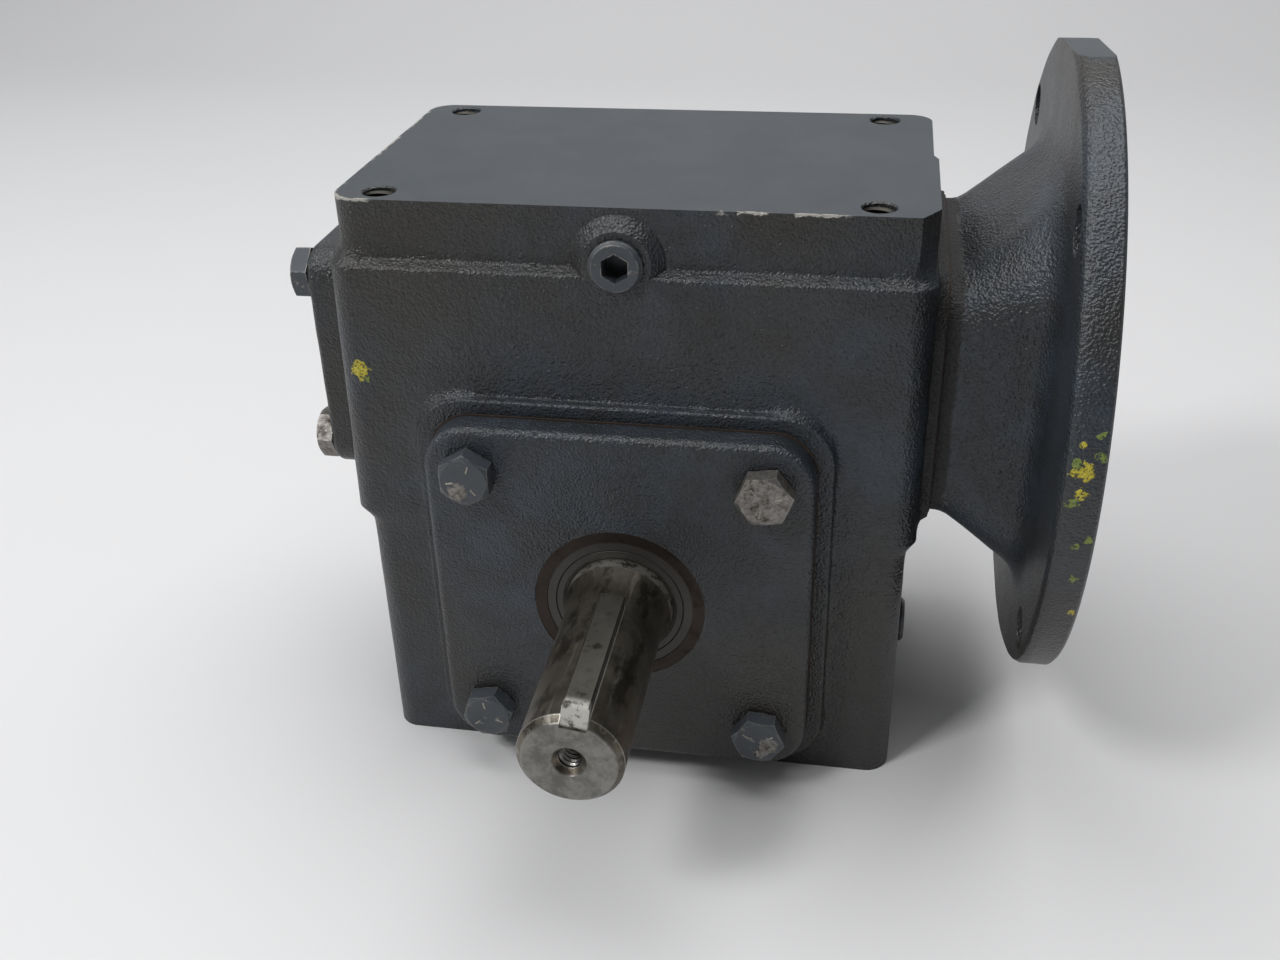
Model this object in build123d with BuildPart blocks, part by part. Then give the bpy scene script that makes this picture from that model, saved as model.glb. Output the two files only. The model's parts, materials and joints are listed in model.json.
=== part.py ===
from build123d import *
import os
from math import cos, pi, radians, sin, sqrt, tan

import numpy as np

os.makedirs("parts", exist_ok=True)

# Right-angle worm gearbox with a motor flange, in millimetres.
# +X runs along the worm towards the motor, -Y along the output shaft, +Z is up.
# The origin is on the mounting face, below the crossing of the two shafts.

# ---------------------------------------------------------------- driving sizes
inch = 25.4
centre_distance = 2.0625 * inch
output_z = 58.7
worm_z = output_z + centre_distance
height = 162.5

# Gear set: single-start worm, thirty-tooth wheel.
gear_module = 2.6
wheel_teeth = 30
wheel_pitch_r = gear_module * wheel_teeth / 2
worm_pitch_r = centre_distance - wheel_pitch_r
worm_tip_r = worm_pitch_r + gear_module
worm_root_r = worm_pitch_r - 1.2 * gear_module
worm_lead = pi * gear_module
thread_half_length = 22.0
pressure_slope = tan(radians(20))
flank_clearance = 0.12
tip_clearance = 0.5
wheel_throat_r = worm_root_r + tip_clearance
wheel_outer_r = 42.9
wheel_half_width = 9.5
rim_inner_r = 30.0

# Housing outside: reach to the left, to the right and to front and back at each level.
foot = (72.2, 73.2, 46.4)
shoulder = (75.5, 75.6, 47.2)
brow = (73.8, 75.4, 47.2)
top_band = (71.6, 73.4, 44.2)
waist_z, upper_z = 72.0, 75.5
brow_z, band_z = 146.0, 147.6
body_corner_r = 6.5
fill_arch_root_r, fill_arch_face_r = 12.2, 8.4
side_pad_y, side_pad_z, side_pad_corner_r = 82.0, 68.0, 12.0
top_spacing_x, top_spacing_y = 121.0, 75.3
base_spacing_x, base_spacing_y = 5.0 * inch, 3.0 * inch
mount_hole_r, mount_hole_depth, mount_countersink = 3.97, 19.0, 0.4

# Housing inside.
cavity_half_x, cavity_half_y = 64.0, 35.0
cavity_bottom, cavity_top = 12.0, 152.0
cavity_corner_r = 20.0
gear_bore_r = 46.5
worm_boss_r, rear_boss_inner_r = 33.0, 35.0
shell = 1.0

# Output side.
cover_size, cover_corner_r = 100.0, 12.0
pad_size, pad_corner_r, pad_flare = 108.6, 14.0, 0.6
pad_y = -50.0
gasket = 0.4
cover_back_y = pad_y - gasket
cover_front_y = -58.1
cover_bolt_spacing = 75.5
output_shaft_r = 0.5 * inch
output_key_turn = radians(8)
output_collar_r = 14.15
output_shaft_end_y = -119.0
output_journal_r, output_race_r, output_bearing_width = 15.0, 27.5, 13.0
output_seal_r = 22.7
output_key = 0.25 * inch
output_key_start_y, output_key_end_y = -75.0, -118.4
output_front_y, output_rear_y = -44.0, 37.5
output_ring_y = 44.65
wheel_seat_r = 16.0
hub_r, hub_front_y, hub_rear_y = 25.0, -17.0, 20.0
wheel_key_length, wheel_key_y = 30.0, 1.0
spacer_start_y, spacer_end_y, spacer_r = 20.2, 31.0, 18.0
rear_boss_y, rear_boss_r = 50.0, 37.0

# Worm side.
cap_size, cap_corner_r = 64.0, 8.0
cap_back_x, cap_front_x = -76.4, -86.0
cap_bolt_spacing, cap_recess_r, cap_recess = 48.0, 20.0, 5.0
cap_seat_margin = 3.0
side_pad_x = 78.0
flange_back_x = side_pad_x + gasket
flange_face_x = 111.7
flange_rim = 9.1
flange_r = 165.1 / 2
rim_flats = ((4.9, 79.5), (11.5, 80.3))
flange_hole_r, flange_pcd = 0.4375 * inch / 2, 5.875 * inch
register_r, register_depth = 4.5 * inch / 2, 4.8
bell_floor_x = 88.0
flange_gasket_y, flange_gasket_z = 79.4, 66.8
flange_bolt_y, flange_bolt_z = 28.0, 20.0
worm_left_x, worm_right_x = -67.5, 70.0
worm_left_ring_x, worm_right_ring_x = -75.15, 78.15
circlip, circlip_groove, circlip_depth = 1.2, 1.3, 0.8
quill_bore_r = 0.625 * inch / 2
quill_bore_start, quill_end = 57.0, 100.0
quill_keyway, quill_keyway_top = 0.1875 * inch, 0.3965 * inch
left_race = dict(bore_r=10.0, outer_r=23.5, width=14.0, ball_r=3.97, count=8)
right_race = dict(bore_r=12.5, outer_r=26.0, width=15.0, ball_r=3.97, count=9)
output_race = dict(bore_r=output_journal_r, outer_r=output_race_r, width=output_bearing_width,
                   ball_r=3.57, count=11)

# Fasteners and plugs.
bolt_r, bolt_clearance_r, tapped_r = 3.9, 4.2, 3.95
bolt_head_af, bolt_head_height = 0.5 * inch, 5.2
cover_screw_length, cap_screw_length, flange_screw_length = 20.0, 19.0, 20.0
cover_hole_depth, cap_hole_depth, flange_hole_depth = 12.6, 11.0, 13.0
socket_head_r, socket_head_height = 5.95, 7.9
socket_af = 0.25 * inch
plug_r, plug_hole_r, plug_length, plug_rim = 6.6, 6.65, 9.0, 2.0
plug_hole_depth = 15.0
fill_plug_z = 149.2
drain_plug_z = 20.5
level_plug_x, level_plug_z = -46.0, 92.0

# Section planes: local x runs along a shaft, local y is the radius from it.
output_section = Plane(origin=(0, 0, output_z), x_dir=(0, 1, 0), z_dir=(1, 0, 0))
worm_section = Plane(origin=(0, 0, worm_z), x_dir=(1, 0, 0), z_dir=(0, -1, 0))
output_axis = Axis((0, 0, output_z), (0, 1, 0))
worm_axis = Axis((0, 0, worm_z), (1, 0, 0))


def across_output(y, z=output_z, x=0.0):
    """Plane facing the viewer of the output side: local x is +X, local y is +Z."""
    return Plane(origin=(x, y, z), x_dir=(1, 0, 0), z_dir=(0, -1, 0))


def across_worm(x, z=worm_z, y=0.0):
    """Plane facing +X, square to the worm: local x is +Y, local y is +Z."""
    return Plane(origin=(x, y, z), x_dir=(0, 1, 0), z_dir=(1, 0, 0))


# ---------------------------------------------------------------- housing
with BuildPart() as housing:
    # Outer casing: narrow foot, wider gear case, sloping brow and recessed top band.
    levels = [(0.0, foot), (waist_z, foot), (upper_z, shoulder), (brow_z, brow), (band_z, top_band),
              (height, top_band)]
    for level_z, (left, right, half_y) in levels:
        with BuildSketch(Plane(origin=((right - left) / 2, 0, level_z))):
            RectangleRounded(left + right, 2 * half_y, body_corner_r)
    loft(ruled=True)
    fillet(housing.edges().filter_by_position(Axis.Z, brow_z - 0.1, brow_z + 0.1), 1.2)
    # Clamping pad on the right end of the top band.
    with BuildSketch(Plane.XY.offset(band_z - shell)):
        with BuildLine():
            right, half_y = top_band[1], top_band[2]
            Polyline((60, 5), (right, 5), (right + 1.2, 2), (right + 1.2, 6.7 - half_y),
                     (right - 3.0, -half_y), (60, -half_y), close=True)
        make_face()
    extrude(amount=height - band_z + shell)

    # The brow arches over the fill plug.
    with BuildSketch(across_output(-top_band[2] + 0.5, fill_plug_z)):
        Circle(fill_arch_root_r)
    with BuildSketch(across_output(-brow[2], fill_plug_z)):
        Circle(fill_arch_face_r)
    loft()

    # Raised pads behind the output cover, the worm cap and the motor flange.
    pad_root_y = -foot[2] + 2
    with BuildSketch(across_output(pad_root_y)):
        RectangleRounded(pad_size + pad_flare, pad_size + pad_flare, pad_corner_r)
    extrude(amount=pad_root_y - pad_y, taper=6)
    fillet(housing.faces().sort_by(Axis.Y)[0].edges(), 0.8)
    with BuildSketch(across_worm(cap_back_x + gasket)):
        RectangleRounded(cap_size + cap_seat_margin, cap_size + cap_seat_margin,
                         cap_corner_r + cap_seat_margin / 2)
    extrude(amount=6)
    with BuildSketch(across_worm(side_pad_x)):
        RectangleRounded(side_pad_y, side_pad_z, side_pad_corner_r)
    extrude(amount=-8)
    with BuildSketch(across_output(rear_boss_y)):
        Circle(rear_boss_r)
    extrude(amount=8)
    fillet(housing.faces().sort_by(Axis.Y)[-1].edges(), 1.0)

    # Oil space, opening to the front for the wheel.
    with BuildSketch(Plane.XY.offset(cavity_bottom)):
        RectangleRounded(2 * cavity_half_x, 2 * cavity_half_y, cavity_corner_r)
    extrude(amount=cavity_top - cavity_bottom, mode=Mode.SUBTRACT)
    with BuildSketch(across_output(pad_y)):
        Circle(gear_bore_r)
    extrude(amount=-20, mode=Mode.SUBTRACT)

    # Bearing bosses inside, then the bearing seats.
    for wall_x, depth in ((-cavity_half_x - shell, 8.0), (cavity_half_x + shell, -8.0)):
        with BuildSketch(across_worm(wall_x)):
            Circle(worm_boss_r)
        extrude(amount=depth)
    with BuildSketch(across_output(cavity_half_y + shell)):
        Circle(rear_boss_inner_r)
    extrude(amount=6)
    with BuildSketch(output_section):
        with BuildLine():
            Polyline((28, 0), (28, 24.5), (30.9, 24.5), (30.9, output_race_r),
                     (51, output_race_r), (51, 0), close=True)
        make_face()
    revolve(axis=output_axis, mode=Mode.SUBTRACT)
    with BuildSketch(worm_section):
        with BuildLine():
            Polyline((-80, 0), (-80, left_race["outer_r"]), (-60.4, left_race["outer_r"]),
                     (-60.4, 20.5), (-50, 20.5), (-50, 0), close=True)
        make_face()
    revolve(axis=worm_axis, mode=Mode.SUBTRACT)
    with BuildSketch(worm_section):
        with BuildLine():
            Polyline((50, 0), (50, 22.5), (62.4, 22.5), (62.4, right_race["outer_r"]),
                     (80, right_race["outer_r"]), (80, 0), close=True)
        make_face()
    revolve(axis=worm_axis, mode=Mode.SUBTRACT)

    # Tapped mounting holes in the base and the top, lightly countersunk.
    for face_z, way, spacing_x, spacing_y in ((0.0, 1, base_spacing_x, base_spacing_y),
                                              (height, -1, top_spacing_x, top_spacing_y)):
        with BuildSketch(Plane.XY.offset(face_z)):
            with GridLocations(spacing_x, spacing_y, 2, 2):
                Circle(mount_hole_r)
        extrude(amount=way * mount_hole_depth, mode=Mode.SUBTRACT)
    mount_rims = housing.edges().filter_by(GeomType.CIRCLE).filter_by(
        lambda e: abs(e.radius - mount_hole_r) < 0.01 and (e.center().Z < 1 or e.center().Z > height - 1))
    chamfer(mount_rims, mount_countersink)

    # Tapped holes for the three sets of screws.
    with BuildSketch(across_output(pad_y)):
        with GridLocations(cover_bolt_spacing, cover_bolt_spacing, 2, 2):
            Circle(tapped_r)
    extrude(amount=-cover_hole_depth, mode=Mode.SUBTRACT)
    with BuildSketch(across_worm(cap_back_x + gasket)):
        with GridLocations(cap_bolt_spacing, cap_bolt_spacing, 2, 2):
            Circle(tapped_r)
    extrude(amount=cap_hole_depth, mode=Mode.SUBTRACT)
    with BuildSketch(across_worm(side_pad_x)):
        with GridLocations(2 * flange_bolt_y, 2 * flange_bolt_z, 2, 2):
            Circle(tapped_r)
    extrude(amount=-flange_hole_depth, mode=Mode.SUBTRACT)

    # Pipe-tapped holes for the fill, drain and level plugs.
    with BuildSketch(across_output(-brow[2] - 1, fill_plug_z)):
        Circle(plug_hole_r)
    extrude(amount=-plug_hole_depth, mode=Mode.SUBTRACT)
    with BuildSketch(across_worm(foot[1] + 3, drain_plug_z)):
        Circle(plug_hole_r)
    extrude(amount=-plug_hole_depth, mode=Mode.SUBTRACT)
    with BuildSketch(across_output(shoulder[2] + 1, level_plug_z, level_plug_x)):
        Circle(plug_hole_r)
    extrude(amount=plug_hole_depth, mode=Mode.SUBTRACT)
housing.part.label = "housing"
export_step(housing.part, "parts/housing.step")


# ---------------------------------------------------------------- fasteners
def hex_screw(length):
    """Hex-head screw: the head stands on z=0, the shank goes down."""
    with BuildPart() as screw:
        with BuildSketch():
            RegularPolygon(bolt_head_af / 2, 6, major_radius=False)
        extrude(amount=bolt_head_height)
        with BuildSketch(Plane.XZ):
            with BuildLine():
                Polyline((0, 0), (bolt_head_af / 2 - 0.1, 0), (bolt_head_af / 2 - 0.1, 0.35),
                         (8, 0.35), (8, bolt_head_height - 1.15), (bolt_head_af / 2 - 0.35, bolt_head_height),
                         (0, bolt_head_height), close=True)
            make_face()
        revolve(axis=Axis.Z, mode=Mode.INTERSECT)
        Cylinder(bolt_r, length, align=(Align.CENTER, Align.CENTER, Align.MAX))
        chamfer(screw.edges().group_by(Axis.Z)[0], 0.8)
    return screw.part


def socket_screw(length):
    """Socket-head cap screw: the head stands on z=0, the shank goes down."""
    with BuildPart() as screw:
        Cylinder(socket_head_r, socket_head_height, align=(Align.CENTER, Align.CENTER, Align.MIN))
        chamfer(screw.edges().group_by(Axis.Z)[-1], 0.6)
        with BuildSketch(Plane.XY.offset(socket_head_height)):
            RegularPolygon(socket_af / 2, 6, major_radius=False)
        extrude(amount=-4, mode=Mode.SUBTRACT)
        Cylinder(bolt_r, length, align=(Align.CENTER, Align.CENTER, Align.MAX))
        chamfer(screw.edges().group_by(Axis.Z)[0], 0.8)
    return screw.part


def pipe_plug(length):
    """Flush pipe plug with a hexagon socket: its rim stands above z=0."""
    with BuildPart() as plug:
        Cylinder(plug_r, length, align=(Align.CENTER, Align.CENTER, Align.MAX))
        Cylinder(plug_r, plug_rim, align=(Align.CENTER, Align.CENTER, Align.MIN))
        chamfer(plug.edges().group_by(Axis.Z)[-1], 0.8)
        with BuildSketch(Plane.XY.offset(plug_rim)):
            RegularPolygon(socket_af / 2, 6, major_radius=False, rotation=30)
        extrude(amount=-6.5, mode=Mode.SUBTRACT)
    return plug.part


def turned_to(plane, angle):
    """The same seat, turned about its own normal."""
    return plane.location * Rotation(0, 0, angle)


# ---------------------------------------------------------------- output cover
with BuildPart() as output_cover:
    with BuildSketch(across_output(cover_back_y)):
        RectangleRounded(cover_size, cover_size, cover_corner_r)
    extrude(amount=cover_back_y - cover_front_y)
    fillet(output_cover.faces().sort_by(Axis.Y)[0].edges(), 2.2)
    # Spigot that centres the cover in the housing and holds the front bearing.
    with BuildSketch(output_section):
        with BuildLine():
            Polyline((-52, 40), (-37, 40), (-37, gear_bore_r - 0.1), (-52, gear_bore_r - 0.1), close=True)
        make_face()
    revolve(axis=output_axis)
    with BuildSketch(output_section):
        with BuildLine():
            Polyline((-54, 26), (-37.5, 26), (-37.5, 33), (-44, 34), (-44, 41), (-54, 41), close=True)
        make_face()
    revolve(axis=output_axis)
    with BuildSketch(output_section):
        with BuildLine():
            Polyline((-60, 0), (-60, output_seal_r), (-51.0, output_seal_r), (-51.0, 19.5), (-50.5, 19.5),
                     (-50.5, output_race_r), (-30, output_race_r), (-30, 0), close=True)
        make_face()
    revolve(axis=output_axis, mode=Mode.SUBTRACT)
    with BuildSketch(across_output(cover_back_y)):
        with GridLocations(cover_bolt_spacing, cover_bolt_spacing, 2, 2):
            Circle(bolt_clearance_r)
    extrude(amount=20, both=True, mode=Mode.SUBTRACT)
output_cover.part.label = "output_cover"
export_step(output_cover.part, "parts/output_cover.step")

with BuildPart() as output_cover_gasket:
    with BuildSketch(across_output(pad_y)):
        RectangleRounded(cover_size + 0.6, cover_size + 0.6, cover_corner_r)
        Circle(gear_bore_r, mode=Mode.SUBTRACT)
        with GridLocations(cover_bolt_spacing, cover_bolt_spacing, 2, 2):
            Circle(bolt_clearance_r, mode=Mode.SUBTRACT)
    extrude(amount=gasket)
output_cover_gasket.part.label = "output_cover_gasket"
export_step(output_cover_gasket.part, "parts/output_cover_gasket.step")

cover_screw = hex_screw(length=cover_screw_length)
cover_bolt = cover_bolt_spacing / 2
with BuildPart() as output_cover_screws:
    for side_x, side_z, angle in ((-1, 1, 30), (1, 1, 8), (-1, -1, 12), (1, -1, -6)):
        seat = across_output(cover_front_y, output_z + side_z * cover_bolt, side_x * cover_bolt)
        with Locations(turned_to(seat, angle)):
            add(cover_screw)
output_cover_screws.part.label = "output_cover_screws"
export_step(output_cover_screws.part, "parts/output_cover_screws.step")

# ---------------------------------------------------------------- output seal
with BuildPart() as output_seal_case:
    with BuildSketch(output_section):
        with BuildLine():
            Polyline((-51.2, output_seal_r), (-57.9, output_seal_r), (-57.9, 19.6), (-56.9, 19.6),
                     (-56.9, 21.8), (-51.2, 21.8), close=True)
        make_face()
    revolve(axis=output_axis)
output_seal_case.part.label = "output_seal_case"
export_step(output_seal_case.part, "parts/output_seal_case.step")

with BuildPart() as output_seal_lip:
    with BuildSketch(output_section):
        with BuildLine():
            Polyline((-57.7, 19.5), (-57.7, 17.2), (-57.4, 17.0), (-57.7, 16.8), (-57.7, 15.3),
                     (-57.1, 14.25), (-56.5, 14.25), (-55.6, 15.4), (-55.0, 15.4), (-54.0, 14.2),
                     (-53.2, 14.2), (-52.2, 15.4), (-52.2, 17.0), (-55.4, 17.2), (-55.4, 21.7),
                     (-56.8, 21.7), (-56.8, 19.5), close=True)
        make_face()
    revolve(axis=output_axis)
output_seal_lip.part.label = "output_seal_lip"
export_step(output_seal_lip.part, "parts/output_seal_lip.step")

# ---------------------------------------------------------------- worm end cap
with BuildPart() as worm_end_cap:
    with BuildSketch(across_worm(cap_front_x)):
        RectangleRounded(cap_size, cap_size, cap_corner_r)
    extrude(amount=cap_back_x - cap_front_x)
    fillet(worm_end_cap.faces().sort_by(Axis.X)[0].edges(), 1.8)
    with BuildSketch(across_worm(cap_back_x)):
        Circle(cap_recess_r)
    extrude(amount=-cap_recess, mode=Mode.SUBTRACT)
    with BuildSketch(across_worm(cap_front_x)):
        with GridLocations(cap_bolt_spacing, cap_bolt_spacing, 2, 2):
            Circle(bolt_clearance_r)
    extrude(amount=12, mode=Mode.SUBTRACT)
worm_end_cap.part.label = "worm_end_cap"
export_step(worm_end_cap.part, "parts/worm_end_cap.step")

with BuildPart() as worm_end_cap_gasket:
    with BuildSketch(across_worm(cap_back_x)):
        RectangleRounded(cap_size + 0.6, cap_size + 0.6, cap_corner_r)
        Circle(left_race["outer_r"], mode=Mode.SUBTRACT)
        with GridLocations(cap_bolt_spacing, cap_bolt_spacing, 2, 2):
            Circle(bolt_clearance_r, mode=Mode.SUBTRACT)
    extrude(amount=gasket)
worm_end_cap_gasket.part.label = "worm_end_cap_gasket"
export_step(worm_end_cap_gasket.part, "parts/worm_end_cap_gasket.step")

cap_screw = hex_screw(length=cap_screw_length)
cap_bolt = cap_bolt_spacing / 2
with BuildPart() as worm_end_cap_screws:
    for side_y, side_z, angle in ((-1, 1, 20), (1, 1, 47), (-1, -1, 5), (1, -1, 33)):
        seat = Plane(origin=(cap_front_x, side_y * cap_bolt, worm_z + side_z * cap_bolt),
                     x_dir=(0, -1, 0), z_dir=(-1, 0, 0))
        with Locations(turned_to(seat, angle)):
            add(cap_screw)
worm_end_cap_screws.part.label = "worm_end_cap_screws"
export_step(worm_end_cap_screws.part, "parts/worm_end_cap_screws.step")

# ---------------------------------------------------------------- motor flange
with BuildPart() as motor_flange:
    # Short straight neck, a bell that widens at about 42 degrees, and a sweep out to the rim.
    neck, bell_mouth = (81.8, 39.0, 32.7, 12.0), (98.8, 42.8, 48.0, 21.0)
    rim_root = [bell_mouth, (100.6, 44.2, 50.0, 22.5), (101.9, 46.4, 52.8, 25.0), (102.9, 50.0, 56.8, 28.6)]
    for bell_sections, is_ruled in ((((flange_back_x, *neck[1:]), neck, bell_mouth), True), (rim_root, False)):
        for section_x, half_y, half_z, corner_r in bell_sections:
            with BuildSketch(across_worm(section_x)):
                RectangleRounded(2 * half_y, 2 * half_z, corner_r)
        loft(ruled=is_ruled)
    with BuildSketch(worm_section):
        with BuildLine():
            rim_back = flange_face_x - flange_rim
            Polyline((rim_back, 0), (rim_back, flange_r - 2.2), (rim_back + 0.7, flange_r - 0.7),
                     (rim_back + 2.2, flange_r), (flange_face_x - 0.8, flange_r),
                     (flange_face_x, flange_r - 0.8), (flange_face_x, 0), close=True)
        make_face()
    revolve(axis=worm_axis)
    # Hand-dressed flat on top of the rim: two facets, each leaning to the back by its own angle.
    for lean, reach in rim_flats:
        facet_normal = (0, sin(radians(lean)), cos(radians(lean)))
        rim_middle = Plane(origin=(flange_face_x, 0, worm_z), x_dir=(1, 0, 0), z_dir=facet_normal)
        with BuildSketch(rim_middle.offset(reach)):
            Rectangle(4 * flange_rim, 2 * flange_r)
        extrude(amount=20, mode=Mode.SUBTRACT)
    # Hollow bell, register recess, seal and quill clearance.
    for section_x, half_y, half_z, corner_r in (
        (bell_floor_x, 35.5, 30.5, 13.0),
        (97.0, 37.5, 39.0, 17.0),
        (flange_face_x - register_depth, 41.0, 46.0, 22.0),
    ):
        with BuildSketch(across_worm(section_x)):
            RectangleRounded(2 * half_y, 2 * half_z, corner_r)
    loft(mode=Mode.SUBTRACT)
    with BuildSketch(across_worm(flange_face_x)):
        Circle(register_r)
    extrude(amount=-register_depth, mode=Mode.SUBTRACT)
    with BuildSketch(across_worm(flange_back_x)):
        Circle(right_race["outer_r"])
    extrude(amount=8.1, mode=Mode.SUBTRACT)
    with BuildSketch(across_worm(flange_back_x)):
        Circle(20)
    extrude(amount=20, mode=Mode.SUBTRACT)
    # Motor holes and the holes for the screws that hold the flange to the housing.
    with BuildSketch(across_worm(flange_face_x)):
        with PolarLocations(flange_pcd / 2, 4, start_angle=45):
            Circle(flange_hole_r)
    extrude(amount=-20, mode=Mode.SUBTRACT)
    with BuildSketch(across_worm(flange_back_x)):
        with GridLocations(2 * flange_bolt_y, 2 * flange_bolt_z, 2, 2):
            Circle(bolt_clearance_r)
    extrude(amount=12, mode=Mode.SUBTRACT)
motor_flange.part.label = "motor_flange"
export_step(motor_flange.part, "parts/motor_flange.step")

with BuildPart() as motor_flange_gasket:
    with BuildSketch(across_worm(side_pad_x)):
        RectangleRounded(flange_gasket_y, flange_gasket_z, side_pad_corner_r)
        Circle(right_race["outer_r"], mode=Mode.SUBTRACT)
        with GridLocations(2 * flange_bolt_y, 2 * flange_bolt_z, 2, 2):
            Circle(bolt_clearance_r, mode=Mode.SUBTRACT)
    extrude(amount=gasket)
motor_flange_gasket.part.label = "motor_flange_gasket"
export_step(motor_flange_gasket.part, "parts/motor_flange_gasket.step")

flange_screw = socket_screw(length=flange_screw_length)
with BuildPart() as motor_flange_screws:
    with Locations(across_worm(bell_floor_x)):
        with GridLocations(2 * flange_bolt_y, 2 * flange_bolt_z, 2, 2):
            add(flange_screw)
motor_flange_screws.part.label = "motor_flange_screws"
export_step(motor_flange_screws.part, "parts/motor_flange_screws.step")

with BuildPart() as input_seal_case:
    with BuildSketch(worm_section):
        with BuildLine():
            Polyline((79.6, 26.0), (86.4, 26.0), (86.4, 19.8), (85.5, 19.8), (85.5, 25.1), (79.6, 25.1),
                     close=True)
        make_face()
    revolve(axis=worm_axis)
input_seal_case.part.label = "input_seal_case"
export_step(input_seal_case.part, "parts/input_seal_case.step")

with BuildPart() as input_seal_lip:
    with BuildSketch(worm_section):
        with BuildLine():
            Polyline((86.2, 19.7), (86.2, 14.0), (85.4, 12.58), (84.8, 12.58), (83.8, 14.0), (82.6, 12.55),
                     (81.8, 12.55), (80.6, 14.0), (80.6, 15.6), (84.0, 15.8), (84.0, 25.0),
                     (85.4, 25.0), (85.4, 19.7), close=True)
        make_face()
    revolve(axis=worm_axis)
input_seal_lip.part.label = "input_seal_lip"
export_step(input_seal_lip.part, "parts/input_seal_lip.step")

# ---------------------------------------------------------------- plugs
plug = pipe_plug(length=plug_length)
plug_seats = {
    "fill_plug": across_output(-brow[2], fill_plug_z),
    "drain_plug": across_worm(foot[1] + 1.0, drain_plug_z),
    "level_plug": Plane(origin=(level_plug_x, shoulder[2], level_plug_z), x_dir=(-1, 0, 0), z_dir=(0, 1, 0)),
}
for plug_name, seat in plug_seats.items():
    with BuildPart(seat) as pipe_fitting:
        add(plug)
    pipe_fitting.part.label = plug_name
    export_step(pipe_fitting.part, f"parts/{plug_name}.step")

with BuildPart() as rear_bore_plug:
    # Pressed cup that closes the rear bearing bore.
    with BuildSketch(output_section):
        with BuildLine():
            Polyline((49.6, 0), (49.6, 24.6), (48.6, output_race_r), (45.6, output_race_r), (45.6, 26.0),
                     (47.6, 26.0), (48.1, 23.8), (48.1, 0), close=True)
        make_face()
    revolve(axis=output_axis)
rear_bore_plug.part.label = "rear_bore_plug"
export_step(rear_bore_plug.part, "parts/rear_bore_plug.step")


# ---------------------------------------------------------------- ball bearings
def ball_bearing(name, section, middle, bore_r, outer_r, width, ball_r, count):
    """Write one deep-groove bearing: outer ring, inner ring, balls and cage."""
    ball_circle_r = (bore_r + outer_r) / 2
    groove_r = ball_r + 0.06
    shoulder = 0.42 * ball_r
    axis = Axis(section.origin, section.x_dir)
    rings = {
        "outer": (ball_circle_r + shoulder, outer_r),
        "inner": (bore_r, ball_circle_r - shoulder),
    }
    for ring_name, (inside_r, outside_r) in rings.items():
        with BuildPart() as ring:
            with BuildSketch(section):
                with Locations((middle, (inside_r + outside_r) / 2)):
                    Rectangle(width, outside_r - inside_r)
                with Locations((middle, ball_circle_r)):
                    Circle(groove_r, mode=Mode.SUBTRACT)
            revolve(axis=axis)
        ring.part.label = f"{name}_{ring_name}"
        export_step(ring.part, f"parts/{name}_{ring_name}.step")

    along = Plane(origin=section.origin + section.x_dir * middle, z_dir=section.x_dir)
    with BuildPart(along) as balls:
        with PolarLocations(ball_circle_r, count):
            Sphere(ball_r)
    balls.part.label = f"{name}_balls"
    export_step(balls.part, f"parts/{name}_balls.step")

    with BuildPart(along) as cage:
        Cylinder(ball_circle_r + 1.0, 2 * ball_r + 2.0)
        Cylinder(ball_circle_r - 1.0, 2 * ball_r + 2.0, mode=Mode.SUBTRACT)
        with PolarLocations(ball_circle_r, count):
            Cylinder(ball_r + 0.15, 8, rotation=(0, 90, 0), mode=Mode.SUBTRACT)
    cage.part.label = f"{name}_cage"
    export_step(cage.part, f"parts/{name}_cage.step")


ball_bearing("worm_left_bearing", worm_section, worm_left_x, **left_race)
ball_bearing("worm_right_bearing", worm_section, worm_right_x, **right_race)
ball_bearing("output_front_bearing", output_section, output_front_y, **output_race)
ball_bearing("output_rear_bearing", output_section, output_rear_y, **output_race)


# ---------------------------------------------------------------- worm shaft
def thread_half_width(radius):
    """Half the axial width of the worm thread at a radius."""
    return worm_lead / 4 - (radius - worm_pitch_r) * pressure_slope


# Each coil starts at the top, so a half lead puts the thread over x = 0 at the bottom.
thread_start = -3.5 * worm_lead
with BuildPart() as worm_thread:
    with BuildLine() as coil:
        Helix(pitch=worm_lead, height=-2 * thread_start, radius=worm_pitch_r,
              center=(thread_start, 0, worm_z), direction=(1, 0, 0))
    foot_r = worm_root_r - 0.5
    with BuildSketch(Plane(origin=(thread_start, 0, worm_z), x_dir=(1, 0, 0), z_dir=(0, -1, 0))):
        with BuildLine():
            Polyline((-thread_half_width(foot_r), foot_r), (thread_half_width(foot_r), foot_r),
                     (thread_half_width(worm_tip_r), worm_tip_r), (-thread_half_width(worm_tip_r), worm_tip_r),
                     close=True)
        make_face()
    sweep(path=coil.line, is_frenet=True)
    with Locations(across_worm(0)):
        Cylinder(2 * worm_tip_r, 2 * thread_half_length, mode=Mode.INTERSECT)

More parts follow.
